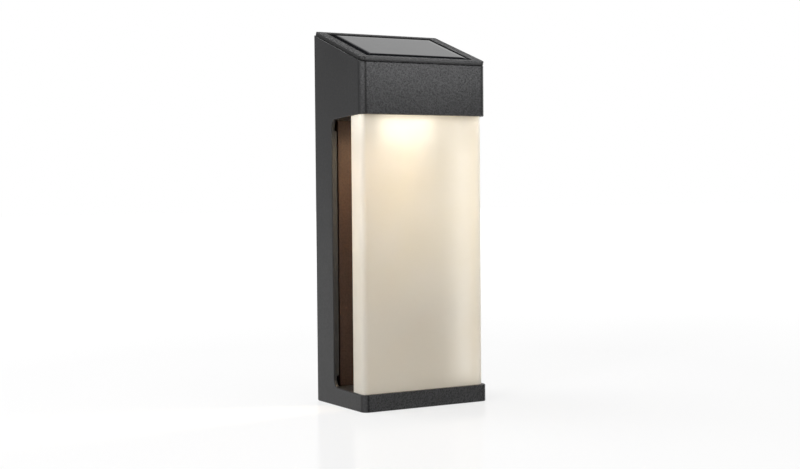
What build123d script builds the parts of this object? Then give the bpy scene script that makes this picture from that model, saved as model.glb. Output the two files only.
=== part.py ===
from build123d import *

import os
from math import cos, radians, sin, tan

# Outer form. Depths run out from the wall, heights run up from the underside of the base.
body_width = 90.0
body_depth = 61.5
front_height = 212.0
roof_slope = 19.2
head_face = 31.2
head_draft = 3.0
base_face = 10.6
base_draft = 1.1
column_depth = 22.5
front_corner = 4.2
opening_corner = 5.5
edge_round = 0.5
heel_round = 1.2

# Housing walls and the seats of its covers
wall = 2.0
head_floor = 3.0
base_deck = 2.2
roof_plate = 2.0
rim_wall = 1.0
seat_width = 1.5
seat_thickness = 2.0
sill_height = 6.0
header_height = 4.0

# Clearances
cover_gap = 0.15
slip_gap = 0.2
hole_gap = 0.2
thread_gap = 0.05
run_gap = 0.3

# Column front
strip_width = 1.8
strip_thickness = 1.6
strip_setback = 0.3
strip_end_gap = 7.0
groove_width = 1.2
panel_setback = 0.5
panel_skin = 2.0
panel_flange = 1.8
panel_overlap = 2.0

# Diffuser
diffuser_inset = 1.5
diffuser_setback = 2.8
diffuser_return = 13.2
diffuser_wall = 2.2
diffuser_corner = 3.5
diffuser_groove = 1.5

# Base plate
base_recess = 0.5
base_plate_thickness = 2.0
base_boss_inset = 9.0
base_boss_front = 11.5
base_boss_rear = 6.5
drain_length = 10.0
drain_width = 3.0
drain_pitch = 22.0

# Rear cover, its hooks and its two wall keyholes
cover_thickness = 2.5
seal_thickness = 1.0
seal_gap = 0.1
cover_screw_inset = 18.0
cover_boss_inset = 8.0
hook_thickness = 1.8
hook_reach = 3.0
hook_width = 10.0
hook_offset = 22.0
keyhole_spacing = 90.0
keyhole_entry_radius = 4.5
keyhole_slot_radius = 2.25
keyhole_rise = 8.0
keyhole_depth = 5.5
keyhole_margin = 1.0
keyhole_wall = 1.5

# Screws
screw_radius = 1.5
screw_head_radius = 2.8
screw_length = 9.0
small_screw_radius = 1.0
small_head_radius = 1.9
small_head_height = 1.3
small_screw_length = 5.0
boss_wall = 1.9
cross_width = 0.7
cross_margin = 0.9
cross_depth = 0.8

# Battery cell and its compartment
cell_radius = 9.2
cell_length = 65.0
terminal_radius = 2.8
terminal_length = 1.5
cell_round = 0.8
cell_gap = 0.6
pocket_wall = 1.6
lead_room = 4.8
saddle_gap = 0.2
saddle_width = 3.0
saddle_offset = 20.0
contact_thickness = 0.5
contact_half = 5.0
contact_tab_half = 1.5
contact_tab_reach = 2.0
spring_reach = 3.4
spring_thickness = 0.4
door_thickness = 1.4
door_seal_thickness = 0.6
door_recess = 0.2
door_lip = 1.9
door_flange = 7.0
door_screw_radius = 1.25
door_head_radius = 2.3
door_screw_length = 6.0
door_screw_offset = 30.0
door_seat = 1.5
door_margin = 0.8

# Light source
led_setback = 20.0
led_opening_width = 7.0
led_window_lip = 2.0
led_window_thickness = 1.5
led_board_length = 62.0
led_board_width = 10.0
led_standoff = 1.2
led_screw_inset = 3.5
led_boss_gap = 0.6
led_count = 6
led_pitch = 6.5
led_length = 3.5
led_width = 2.8
led_height = 0.8
board_thickness = 1.6

# Control board
control_length = 70.0
control_height = 24.0
control_standoff = 3.0
control_screw_inset = 5.0
control_screw_rise = 8.0
chip_length = 8.0
chip_height = 6.0
chip_thickness = 1.8
capacitor_radius = 3.2
capacitor_length = 8.0
capacitor_offset = 20.0
choke_radius = 4.0
choke_length = 5.0
choke_flange = 1.2
choke_groove = 0.5
socket_width = 7.0
socket_height = 4.6
socket_depth = 4.0
socket_margin = 1.4
socket_gap = 4.6
led_socket_offset = 10.0

# Power switch
switch_offset = 20.0
switch_height = 130.0
button_radius = 5.0
button_recess = 0.5
button_round = 0.8
button_flange_radius = 6.2
button_flange = 1.2
button_travel = 1.5
plunger_radius = 1.7
plunger_length = 4.6
switch_body_half = 3.5
switch_body_length = 7.5
switch_board_half = 6.0
switch_board_reach = 12.5
switch_boss_reach = 10.0
switch_board_thickness = 1.2

# Solar lid
lid_front_inset = 0.7
lid_side_inset = 0.2
lid_rear_inset = 1.0
lid_gap = 0.45
lid_thickness = 2.3
lid_front_corner = 3.4
lid_rear_corner = 1.2
lid_side_rim = 6.3
lid_front_rim = 4.7
lid_rear_rim = 4.0
window_bevel = 0.3
lid_pocket_floor = 1.2
lid_pocket_wall = 1.5
lid_hook_width = 7.0
lid_hook_spacing = 30.0
lid_hook_drop = 3.2
lid_hook_barb = 1.4
lid_hook_thickness = 1.4
gasket_setback = 0.7
sheet_gap = 0.4
sheet_recess = 0.05
sheet_crown = 0.7
sheet_border = 6.0
sheet_skirt = 0.65
cell_strip_count = 9
cell_strip_gap = 0.6
cell_strip_thickness = 0.3
cell_strip_margin = 1.6
backing_thickness = 1.0
tape_thickness = 0.5
tape_width = 4.0
lead_hole_radius = 3.0

# Leads
lead_radius = 0.65
lead_pitch = 2.6
lead_lean = 2.0
lead_landing = 7.0
bend_share = 0.45

# Room for a cutter to pass a face
over = 1.0

# Values worked out from the sizes above
half_width = body_width / 2
inner_half = half_width - wall
roof_angle = radians(roof_slope)
back_height = front_height + body_depth * tan(roof_angle)
underside_front = front_height - head_face
head_floor_top = underside_front + head_floor
deck_underside = base_face - base_deck
base_plate_top = base_recess + base_plate_thickness
rebate_depth = cover_thickness + seal_thickness
frame_depth = rebate_depth + seat_thickness
rebate_half = half_width - rim_wall
seat_half = rebate_half - seat_width
panel_seat = column_depth - strip_setback - strip_thickness
strip_inner = inner_half - strip_width
field_half = strip_inner - groove_width
field_back = column_depth - panel_setback - panel_skin
diffuser_half = half_width - diffuser_inset
diffuser_front = body_depth - diffuser_setback
diffuser_back = diffuser_front - diffuser_return
cell_height = head_floor_top + lead_room + pocket_wall + cell_gap + cell_radius
pocket_half = cell_radius + cell_gap
pocket_reach = (cell_length + 2 * contact_thickness + spring_reach) / 2
door_ledge = door_recess + door_thickness + door_seal_thickness
cell_depth = door_ledge + 2 * cell_gap + cell_radius
pocket_bottom = cell_depth + pocket_half
pocket_front = pocket_bottom + pocket_wall
door_half = pocket_half + door_flange
door_reach = pocket_reach + door_lip
opening_top = (
    cell_height + door_half + cover_gap + door_margin + hook_thickness + 2 * slip_gap + seat_width
)
led_depth = body_depth - led_setback
led_board_underside = head_floor_top + led_standoff
led_board_top = led_board_underside + board_thickness
led_boss_radius = small_screw_radius + boss_wall
led_lip_reach = led_board_length / 2 - led_screw_inset - led_boss_radius - led_boss_gap
led_opening_length = 2 * (led_lip_reach - led_window_lip)
control_back = pocket_front + control_standoff
control_front = control_back + board_thickness
socket_face = control_front + socket_depth
socket_column = (
    control_length / 2 - control_screw_inset - small_head_radius - socket_gap - socket_width / 2
)
tab_place = pocket_reach - contact_thickness / 2
button_flange_back = cover_thickness + run_gap
button_flange_front = button_flange_back + button_flange
switch_face = button_flange_front + button_travel + run_gap
switch_board_back = switch_face + switch_body_length
switch_board_front = switch_board_back + switch_board_thickness
slope_half = body_depth / cos(roof_angle) / 2
lid_top = lid_gap + lid_thickness
sheet_top = lid_top - sheet_recess
sheet_brim = sheet_top - sheet_crown
cells_top = sheet_brim - sheet_skirt
backing_top = cells_top - cell_strip_thickness
tape_top = backing_top - backing_thickness
pocket_floor_top = tape_top - tape_thickness
lid_underside = pocket_floor_top - lid_pocket_floor
window_length = body_width - 2 * (lid_side_inset + lid_side_rim)
window_front = lid_front_inset + lid_front_rim
window_rear = lid_rear_inset + lid_rear_rim
window_width = 2 * slope_half - window_front - window_rear
window_shift = (window_front - window_rear) / 2
plug_half = window_length / 2 + lid_pocket_wall
plug_reach = window_width / 2 + lid_pocket_wall
origin_height = back_height / 2

OUT = (0, -1, 0)
INWARD = (0, 1, 0)
RIGHT = (1, 0, 0)
UP = (0, 0, 1)
DOWN = (0, 0, -1)
STAND = (Align.CENTER, Align.CENTER, Align.MIN)

# The roof plane, with X across, Y up the slope and Z square to it
roof = Plane(
    origin=(0, -body_depth / 2, (front_height + back_height) / 2),
    x_dir=RIGHT,
    z_dir=(0, -sin(roof_angle), cos(roof_angle)),
)


def underside_at(depth):
    """Height of the head's drafted underside."""
    return underside_front - (body_depth - depth) * tan(radians(head_draft))


def deck_at(depth):
    """Height of the base's drafted top."""
    return base_face + (body_depth - depth) * tan(radians(base_draft))


def roof_at(depth):
    """Height of the sloping roof."""
    return back_height - depth * tan(roof_angle)


def around(middle, half):
    return (middle - half, middle + half)


def block(across, up_y, up_z):
    """Box between low and high limits along X, Y and Z."""
    limits = (across, up_y, up_z)
    middle = [(low + high) / 2 for low, high in limits]
    size = [high - low for low, high in limits]
    return Pos(*middle) * Box(*size)


def deep(across, depths, heights):
    """Box between limits across, out from the wall and up."""
    return block(across, (-depths[1], -depths[0]), heights)


def peg(start, direction, radius, length):
    return Plane(origin=start, z_dir=direction) * Cylinder(radius, length, align=STAND)


def side_slab(outline, half):
    """Solid of a side outline of depths and heights, reaching half each way across."""
    points = [(-depth, height) for depth, height in outline]
    return extrude(Plane.YZ * Polygon(*points), half, both=True)


def nearest_edge(solid, axis, point):
    return solid.edges().filter_by(axis).sort_by_distance(point)[0]


def front_uprights(solid):
    """The upright edges on the side away from the wall."""
    return solid.edges().filter_by(Axis.Z).group_by(Axis.Y)[0]


def mirrored(x, z):
    """Four places, left and right, below and above."""
    return [(-x, -z), (x, -z), (-x, z), (x, z)]


def cross_recess(top_radius):
    arm = Box(2 * (top_radius - cross_margin), cross_width, cross_depth, align=STAND)
    return arm + Rot(0, 0, 90) * arm


def countersunk_screw(seat, direction, radius, head_radius, length):
    """Flat-headed screw, its head's top at seat and its point along direction."""
    head_height = head_radius - radius
    head = Cone(head_radius, radius, head_height, align=STAND)
    shank = Pos(0, 0, head_height) * Cylinder(radius, length - head_height - radius, align=STAND)
    point = Pos(0, 0, length - radius) * Cone(radius, radius / 4, radius, align=STAND)
    return Plane(origin=seat, z_dir=direction) * (head + shank + point - cross_recess(head_radius))


def countersunk_hole(seat, direction, radius, head_radius, length):
    sink = Cone(head_radius + hole_gap, radius + hole_gap, head_radius - radius, align=STAND)
    mouth = Pos(0, 0, -over) * Cylinder(head_radius + hole_gap, over, align=STAND)
    bore = Cylinder(radius + hole_gap, length, align=STAND)
    return Plane(origin=seat, z_dir=direction) * (sink + mouth + bore)


def board_screw(seat, direction):
    """Pan-headed screw, the underside of its head at seat."""
    head = Pos(0, 0, -small_head_height) * Cylinder(small_head_radius, small_head_height, align=STAND)
    head = fillet(head.edges().group_by(Axis.Z)[0], small_head_height / 3)
    shank = Cylinder(small_screw_radius, small_screw_length, align=STAND)
    recess = Pos(0, 0, -small_head_height) * cross_recess(small_head_radius)
    return Plane(origin=seat, z_dir=direction) * (head + shank - recess)


def diffuser_channel(grow, low, high):
    """The U of the diffuser's wall, thickened by grow on every side."""
    outer = deep(
        around(0, diffuser_half + grow),
        (diffuser_back - grow, diffuser_front + grow),
        (low, high),
    )
    outer = fillet(front_uprights(outer), diffuser_corner + grow)
    inner = deep(
        around(0, diffuser_half - diffuser_wall - grow),
        (diffuser_back - grow - over, diffuser_front - diffuser_wall - grow),
        (low - over, high + over),
    )
    inner = fillet(front_uprights(inner), diffuser_corner - diffuser_wall - grow)
    return outer - inner


def below_head(low, lift):
    """Room from a height up to the head's underside, raised by lift."""
    rear = diffuser_back - over
    front = body_depth
    outline = [
        (rear, low),
        (front, low),
        (front, underside_at(front) + lift),
        (rear, underside_at(rear) + lift),
    ]
    return side_slab(outline, half_width)


def cover_screw_places():
    low = deck_at(panel_seat) + cover_screw_inset
    high = underside_at(panel_seat) - cover_screw_inset
    across = field_half - cover_boss_inset
    return [(x, z) for z in (low, (low + high) / 2, high) for x in (-across, across)]


def base_screw_places():
    across = half_width - base_boss_inset
    depths = (panel_seat + base_boss_rear, body_depth - base_boss_front)
    return [(x, -depth) for depth in depths for x in (-across, across)]


def outer_form():
    """The housing's outside, C-shaped from the side."""
    inner_low = (column_depth, deck_at(column_depth))
    inner_high = (column_depth, underside_at(column_depth))
    outline = [
        (0, 0),
        (body_depth, 0),
        (body_depth, base_face),
        inner_low,
        inner_high,
        (body_depth, underside_front),
        (body_depth, front_height),
        (0, back_height),
    ]
    form = side_slab(outline, half_width)
    for depth, height in (inner_low, inner_high):
        form = fillet(nearest_edge(form, Axis.X, (0, -depth, height)), opening_corner)
    form = fillet(front_uprights(form), front_corner)
    form = fillet(nearest_edge(form, Axis.X, (0, 0, 0)), heel_round)
    return fillet(open_edges(form), edge_round)


def open_edges(form):
    """Edges that are rounded over: all but those on the wall side and the seams of larger rounds."""
    across = form.edges().filter_by(Axis.X)
    upright = form.edges().filter_by(Axis.Z)
    front = across.group_by(Axis.Y)[0]
    column = [edge for edge in upright if abs(edge.center().Y + column_depth) < edge_round]
    return (form.edges() - across - upright) + front + column


def roof_block(across, along, square):
    """Box in the roof plane, placed on the roof."""
    return roof * block(across, along, square)


def main_housing():
    form = outer_form()
    roof_drop = roof_plate / cos(roof_angle)
    room_front = body_depth - wall
    head_room = [
        (frame_depth, head_floor_top),
        (room_front, head_floor_top),
        (room_front, roof_at(room_front) - roof_drop),
        (frame_depth, roof_at(frame_depth) - roof_drop),
    ]
    header_room = [
        (wall, opening_top + header_height),
        (frame_depth + over, opening_top + header_height),
        (frame_depth + over, roof_at(frame_depth + over) - roof_drop),
        (wall, roof_at(wall) - roof_drop),
    ]
    column_room = [
        (frame_depth, base_recess),
        (panel_seat, base_recess),
        (panel_seat, head_floor_top + over),
        (frame_depth, head_floor_top + over),
    ]
    base_room = [
        (frame_depth, -over),
        (room_front, -over),
        (room_front, deck_underside),
        (frame_depth, deck_underside),
    ]
    column_front = [
        (panel_seat - over, deck_at(panel_seat)),
        (column_depth + opening_corner, deck_at(column_depth + opening_corner)),
        (column_depth + opening_corner, underside_at(column_depth + opening_corner)),
        (panel_seat - over, underside_at(panel_seat)),
    ]
    housing = form
    for room in (head_room, header_room, column_room, base_room, column_front):
        housing -= side_slab(room, inner_half)
    housing -= deep(
        around(0, seat_half),
        (-over, frame_depth + over),
        (sill_height + seat_width, opening_top - seat_width),
    )
    housing -= deep(around(0, rebate_half), (-over, rebate_depth), (sill_height, opening_top))
    housing -= base_plate_blank(0, -over)

    for side in (-1, 1):
        strip = deep(
            around(side * (strip_inner + strip_width / 2), strip_width / 2),
            (panel_seat, column_depth - strip_setback),
            (deck_at(panel_seat) + strip_end_gap, underside_at(panel_seat) - strip_end_gap),
        )
        housing += strip

    housing -= diffuser_channel(slip_gap, -over, front_height) & below_head(
        -over, diffuser_groove + slip_gap
    )

    for x, y in base_screw_places():
        boss_height = deck_underside - base_plate_top
        housing += peg((x, y, base_plate_top), UP, screw_radius + boss_wall, boss_height + base_deck / 2)
        housing -= peg((x, y, base_plate_top - over), UP, screw_radius + thread_gap, boss_height + over)

    housing -= deep(
        around(0, led_opening_length / 2),
        around(led_depth, led_opening_width / 2),
        (underside_at(0), head_floor_top + over),
    )
    housing -= deep(
        around(0, led_lip_reach),
        around(led_depth, led_opening_width / 2 + led_window_lip),
        (head_floor_top - led_window_thickness, head_floor_top + over),
    )
    for x in led_screw_places():
        foot = (x, -led_depth, head_floor_top - over)
        housing += peg(foot, UP, led_boss_radius, led_standoff + over)
        top = (x, -led_depth, led_board_underside)
        pilot = small_screw_length - board_thickness + slip_gap
        housing -= peg(top, DOWN, small_screw_radius + thread_gap, pilot)

    housing -= roof_block(
        around(0, plug_half + slip_gap),
        around(window_shift, plug_reach + slip_gap),
        (-roof_plate - over, over),
    )
    return housing


def inner_panel():
    low = deck_at(panel_seat)
    high = underside_at(panel_seat)
    flange = (panel_seat - panel_flange, panel_seat)
    panel = deep(
        around(0, field_half),
        (panel_seat - panel_flange, column_depth - panel_setback),
        (low + slip_gap, high - slip_gap),
    )
    panel += deep(around(0, field_half), flange, (low - panel_overlap, high + panel_overlap))
    panel += deep(
        around(0, seat_half - slip_gap), flange, (low + strip_end_gap, high - strip_end_gap)
    )
    panel -= deep(
        around(0, field_half - panel_skin), (0, field_back), (low + panel_skin, high - panel_skin)
    )
    boss_end = cover_thickness + slip_gap
    for x, z in cover_screw_places():
        panel += peg((x, -boss_end, z), OUT, screw_radius + boss_wall, field_back - boss_end + panel_skin / 2)
        panel -= peg((x, -boss_end + over, z), OUT, screw_radius + thread_gap, screw_length + over)
    return panel


def diffuser():
    shell = diffuser_channel(0, base_plate_top, front_height)
    rear_ends = shell.edges().filter_by(Axis.Z).group_by(Axis.Y)[-1]
    shell = fillet(rear_ends, edge_round)
    return shell & below_head(base_plate_top, diffuser_groove)


def base_plate_blank(gap, low):
    """Outline of the base plate in its rebate, up to the plate's top."""
    blank = deep(
        around(0, rebate_half - gap),
        (rim_wall + gap, body_depth - rim_wall - gap),
        (low, base_plate_top),
    )
    return fillet(front_uprights(blank), front_corner - rim_wall - gap)


def base_plate():
    plate = base_plate_blank(cover_gap, base_recess)
    for x, y in base_screw_places():
        plate -= countersunk_hole((x, y, base_recess), UP, screw_radius, screw_head_radius, base_plate_top)
    middle = (panel_seat + diffuser_back) / 2
    for place in (-1, 0, 1):
        plate -= deep(
            around(place * drain_pitch, drain_length / 2),
            around(middle, drain_width / 2),
            (0, base_plate_top + over),
        )
    return plate


def base_plate_screws():
    length = deck_underside - base_recess - thread_gap
    return [
        countersunk_screw((x, y, base_recess), UP, screw_radius, screw_head_radius, length)
        for x, y in base_screw_places()
    ]


def keyhole_entries():
    return [origin_height - keyhole_spacing / 2, origin_height + keyhole_spacing / 2]


def rear_cover():
    low = sill_height + cover_gap
    high = opening_top - cover_gap
    cover = deep(around(0, rebate_half - cover_gap), (0, cover_thickness), (low, high))

    # Battery compartment, its door's rebate and the bosses for the door's screws
    frame = door_seat + door_ledge
    cover += deep(
        around(0, door_reach + door_margin), (0, frame), around(cell_height, door_half + door_margin)
    )
    cover += deep(
        around(0, pocket_reach + pocket_wall),
        (0, pocket_front),
        around(cell_height, pocket_half + pocket_wall),
    )
    for x, z in door_screw_places():
        cover += peg((x, -door_ledge, z), OUT, door_screw_radius + boss_wall, door_screw_length)
    cover -= deep(
        around(0, door_reach + cover_gap), (-over, door_ledge), around(cell_height, door_half + cover_gap)
    )
    cover -= deep(around(0, pocket_reach), (-over, pocket_bottom), around(cell_height, pocket_half))
    for x, z in door_screw_places():
        seat = (x, -door_recess, z)
        cover -= peg(seat, OUT, door_screw_radius + thread_gap, door_screw_length + thread_gap)
    for side in (-1, 1):
        saddle = deep(
            around(side * saddle_offset, saddle_width / 2),
            (cell_depth, pocket_bottom + pocket_wall / 2),
            around(cell_height, pocket_half + pocket_wall / 2),
        )
        cradle_end = (-body_width, -cell_depth, cell_height)
        saddle -= peg(cradle_end, RIGHT, cell_radius + saddle_gap, 2 * body_width)
        cover += saddle
        cover -= deep(
            around(side * tab_place, contact_thickness / 2 + slip_gap),
            (pocket_bottom - over, pocket_front + over),
            around(cell_height, contact_tab_half + slip_gap),
        )

    # Bosses that carry the control board
    for x, z in control_screw_places():
        cover += peg((x, -pocket_front, z), OUT, small_screw_radius + boss_wall, control_standoff)
        depth = small_screw_length - board_thickness + thread_gap
        cover -= peg((x, -control_back, z), INWARD, small_screw_radius + thread_gap, depth)

    # Keyholes with a closed box behind each for the wall screw's head
    for entry in keyhole_entries():
        room_half = keyhole_entry_radius + keyhole_margin
        room = (entry - room_half, entry + keyhole_rise + room_half)
        cover += deep(
            around(0, room_half + keyhole_wall),
            (0, cover_thickness + keyhole_depth + keyhole_wall),
            (room[0] - keyhole_wall, room[1] + keyhole_wall),
        )
        cover -= deep(around(0, room_half), (cover_thickness, cover_thickness + keyhole_depth), room)
        cover -= peg((0, over, entry), OUT, keyhole_entry_radius, cover_thickness + 2 * over)
        cover -= peg((0, over, entry + keyhole_rise), OUT, keyhole_slot_radius, cover_thickness + 2 * over)
        cover -= deep(
            around(0, keyhole_slot_radius), (-over, cover_thickness + over), (entry, entry + keyhole_rise)
        )

    # Guide hole of the power button and the bosses of the switch board
    guide = (switch_offset, over, switch_height)
    cover -= peg(guide, OUT, button_radius + run_gap, cover_thickness + 2 * over)
    for z in switch_screw_places():
        back = (switch_offset, -switch_board_back, z)
        cover += peg(back, INWARD, small_screw_radius + boss_wall, switch_board_back - cover_thickness / 2)
        cover -= peg(back, INWARD, small_screw_radius + thread_gap, small_screw_length)

    # Hooks that catch behind the header of the housing
    neck_top = opening_top - seat_width - slip_gap
    hook_back = frame_depth + slip_gap
    for side in (-1, 1):
        across = around(side * hook_offset, hook_width / 2)
        cover += deep(
            across, (cover_thickness / 2, hook_back + hook_thickness), (neck_top - hook_thickness, neck_top)
        )
        cover += deep(
            across,
            (hook_back, hook_back + hook_thickness),
            (neck_top - hook_thickness, neck_top + hook_reach),
        )

    for x, z in cover_screw_places():
        cover -= countersunk_hole((x, 0, z), OUT, screw_radius, screw_head_radius, cover_thickness + over)
    return cover


def rear_cover_seal():
    depths = (cover_thickness, rebate_depth)
    ring = deep(
        around(0, rebate_half - cover_gap), depths, (sill_height + cover_gap, opening_top - cover_gap)
    )
    inside = seat_width - seal_gap
    return ring - deep(
        around(0, rebate_half - inside),
        (0, frame_depth),
        (sill_height + inside, opening_top - inside),
    )


def rear_cover_screws():
    return [
        countersunk_screw((x, 0, z), OUT, screw_radius, screw_head_radius, screw_length)
        for x, z in cover_screw_places()
    ]


def door_screw_places():
    rise = pocket_half + pocket_wall + door_screw_radius + boss_wall / 2
    return [(x, cell_height + z) for x, z in mirrored(door_screw_offset, rise)]


def battery_door():
    depths = (door_recess, door_recess + door_thickness)
    door = deep(around(0, door_reach), depths, around(cell_height, door_half))
    rib_end = cell_depth - cell_radius - saddle_gap
    for side in (-1, 1):
        door += deep(
            around(side * saddle_offset, saddle_width / 2),
            (door_recess, rib_end),
            around(cell_height, cell_radius / 2),
        )
    for x, z in door_screw_places():
        seat = (x, -door_recess, z)
        door -= countersunk_hole(seat, OUT, door_screw_radius, door_head_radius, door_thickness + over)
    return door


def battery_door_seal():
    depths = (door_recess + door_thickness, door_ledge)
    inner = slip_gap
    outer = pocket_wall
    ring = deep(around(0, pocket_reach + outer), depths, around(cell_height, pocket_half + outer))
    return ring - deep(
        around(0, pocket_reach + inner), (0, door_ledge + over), around(cell_height, pocket_half + inner)
    )


def battery_door_screws():
    return [
        countersunk_screw(
            (x, -door_recess, z), OUT, door_screw_radius, door_head_radius, door_screw_length
        )
        for x, z in door_screw_places()
    ]


def battery_cell():
    plus_end = -pocket_reach + contact_thickness
    can_start = (plus_end + terminal_length, -cell_depth, cell_height)
    can = peg(can_start, RIGHT, cell_radius, cell_length - terminal_length)
    can = fillet(can.edges().filter_by(GeomType.CIRCLE), cell_round)
    plus_start = (plus_end, -cell_depth, cell_height)
    return can + peg(plus_start, RIGHT, terminal_radius, 2 * terminal_length)


def contact_tab(outer_side):
    """Tab of a contact, through the slot in the compartment's floor."""
    across = around(outer_side * tab_place, contact_thickness / 2)
    return deep(
        across, (cell_depth, pocket_front + contact_tab_reach), around(cell_height, contact_tab_half)
    )


def contact_plate(outer_side):
    across = around(outer_side * tab_place, contact_thickness / 2)
    return deep(across, around(cell_depth, contact_half), around(cell_height, contact_half))


def battery_plus_contact():
    return contact_plate(-1) + contact_tab(-1)


def battery_spring_contact():
    """Plate with a bowed leaf that presses on the cell's flat end."""
    root = pocket_reach - contact_thickness
    crest = root - spring_reach
    outline = [
        (root, -cell_depth - contact_half),
        (crest, -cell_depth - spring_thickness),
        (crest, -cell_depth + spring_thickness),
        (root, -cell_depth + contact_half),
        (root, -cell_depth + contact_half - 2 * spring_thickness),
        (crest + spring_thickness, -cell_depth),
        (root, -cell_depth - contact_half + 2 * spring_thickness),
    ]
    low = cell_height - contact_half / 2
    leaf = extrude(Pos(0, 0, low) * Polygon(*outline), contact_half)
    return contact_plate(1) + contact_tab(1) + leaf


def led_screw_places():
    return (led_screw_inset - led_board_length / 2, led_board_length / 2 - led_screw_inset)


def led_window():
    lip = led_window_lip - slip_gap
    return deep(
        around(0, led_opening_length / 2 + lip),
        around(led_depth, led_opening_width / 2 + lip),
        (head_floor_top - led_window_thickness, head_floor_top),
    )


def led_gasket():
    heights = (head_floor_top, led_board_underside)
    lip = led_window_lip / 2
    ring = deep(
        around(0, led_opening_length / 2 + lip), around(led_depth, led_opening_width / 2 + lip), heights
    )
    return ring - deep(
        around(0, led_opening_length / 2),
        around(led_depth, led_opening_width / 2),
        (head_floor_top - over, led_board_top),
    )


def led_board():
    board = deep(
        around(0, led_board_length / 2),
        around(led_depth, led_board_width / 2),
        (led_board_underside, led_board_top),
    )
    for x in led_screw_places():
        hole = (x, -led_depth, led_board_underside - over)
        board -= peg(hole, UP, small_screw_radius + hole_gap, board_thickness + 2 * over)
    return board


def led_chips():
    first = -led_pitch * (led_count - 1) / 2
    return [
        deep(
            around(first + place * led_pitch, led_length / 2),
            around(led_depth, led_width / 2),
            (led_board_underside - led_height, led_board_underside),
        )
        for place in range(led_count)
    ]


def led_board_screws():
    return [board_screw((x, -led_depth, led_board_top), DOWN) for x in led_screw_places()]


def control_screw_places():
    across = control_length / 2 - control_screw_inset
    return [(x, cell_height + z) for x, z in mirrored(across, control_screw_rise)]


def control_board():
    """Board with a notch in each end, where the battery leads pass."""
    board = deep(
        around(0, control_length / 2),
        (control_back, control_front),
        around(cell_height, control_height / 2),
    )
    for x, z in control_screw_places():
        hole = (x, over - control_back, z)
        board -= peg(hole, OUT, small_screw_radius + hole_gap, board_thickness + 2 * over)
    notch_half = lead_radius + slip_gap
    for side in (-1, 1):
        board -= deep(
            sorted((side * (tab_place - notch_half), side * half_width)),
            (control_back - over, control_front + over),
            around(cell_height, notch_half),
        )
    return board


def control_board_screws():
    return [board_screw((x, -control_front, z), INWARD) for x, z in control_screw_places()]


def control_chip():
    return deep(
        around(0, chip_length / 2),
        (control_front, control_front + chip_thickness),
        around(cell_height, chip_height / 2),
    )


def control_capacitor():
    can = peg((-capacitor_offset, -control_front, cell_height), OUT, capacitor_radius, capacitor_length)
    return fillet(can.edges().group_by(Axis.Y)[0], edge_round)


def control_choke():
    height = cell_height + choke_radius
    winding = choke_length - 2 * choke_flange
    drum = peg((socket_column, -control_front, height), OUT, choke_radius, choke_length)
    groove_start = (socket_column, -control_front - choke_flange, height)
    groove = peg(groove_start, OUT, choke_radius, winding)
    core = peg(groove_start, OUT, choke_radius - choke_groove, winding)
    return drum - (groove - core)


def socket_places():
    """Middle of each lead socket on the control board: light, switch and solar panel."""
    low = cell_height - control_height / 2 + socket_margin + socket_height / 2
    high = cell_height + control_height / 2 - socket_margin - socket_height / 2
    return [(-led_socket_offset, low), (socket_column, low), (0, high)]


def lead_sockets():
    return [
        deep(around(x, socket_width / 2), (control_front, socket_face), around(z, socket_height / 2))
        for x, z in socket_places()
    ]


def switch_screw_places():
    return (switch_height - switch_boss_reach, switch_height + switch_boss_reach)


def power_button():
    start = (switch_offset, -button_recess, switch_height)
    cap = peg(start, OUT, button_radius, button_flange_front - button_recess)
    cap = fillet(cap.edges().group_by(Axis.Y)[-1], button_round)
    flange = (switch_offset, -button_flange_back, switch_height)
    return cap + peg(flange, OUT, button_flange_radius, button_flange)


def switch_plunger():
    start = (switch_offset, -button_flange_front, switch_height)
    return peg(start, OUT, plunger_radius, plunger_length)


def power_switch():
    body = deep(
        around(switch_offset, switch_body_half),
        (switch_face, switch_board_back),
        around(switch_height, switch_body_half),
    )
    bore_end = button_flange_front + plunger_length + button_travel + run_gap
    return body - peg(
        (switch_offset, over - switch_face, switch_height),
        OUT,
        plunger_radius + run_gap,
        bore_end - switch_face + over,
    )


def switch_board():
    board = deep(
        around(switch_offset, switch_board_half),
        (switch_board_back, switch_board_front),
        around(switch_height, switch_board_reach),
    )
    for z in switch_screw_places():
        hole = (switch_offset, over - switch_board_back, z)
        board -= peg(hole, OUT, small_screw_radius + hole_gap, switch_board_thickness + 2 * over)
    return board


def switch_board_screws():
    return [board_screw((switch_offset, -switch_board_front, z), INWARD) for z in switch_screw_places()]


def solar_lid():
    flange = block(
        around(0, half_width - lid_side_inset),
        (lid_front_inset - slope_half, slope_half - lid_rear_inset),
        (lid_gap, lid_top),
    )
    flange = fillet(flange.edges().filter_by(Axis.Z).group_by(Axis.Y)[0], lid_front_corner)
    flange = fillet(flange.edges().filter_by(Axis.Z).group_by(Axis.Y)[-1], lid_rear_corner)
    flange = fillet(flange.faces().sort_by(Axis.Z)[-1].edges(), edge_round)
    lid = flange + block(
        around(0, plug_half), around(window_shift, plug_reach), (lid_underside, lid_gap)
    )
    lid -= block(
        around(0, window_length / 2),
        around(window_shift, window_width / 2),
        (pocket_floor_top, lid_top + over),
    )
    lid = chamfer(window_rim(lid), window_bevel)
    lid -= Pos(0, lead_place(), 0) * Cylinder(lead_hole_radius, 2 * lid_top + over)
    for side, along in mirrored(1, lid_hook_spacing / 2):
        shank = around(side * (plug_half - lid_hook_thickness / 2), lid_hook_thickness / 2)
        barb_middle = side * (plug_half + lid_hook_barb / 2 - lid_hook_thickness / 2)
        barb = around(barb_middle, (lid_hook_barb + lid_hook_thickness) / 2)
        width = around(window_shift + along, lid_hook_width / 2)
        barb_top = -roof_plate - slip_gap
        lid += block(shank, width, (barb_top - lid_hook_drop, lid_underside + lid_pocket_floor / 2))
        lid += block(barb, width, (barb_top - lid_hook_drop / 2, barb_top))
    return roof * lid


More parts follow.
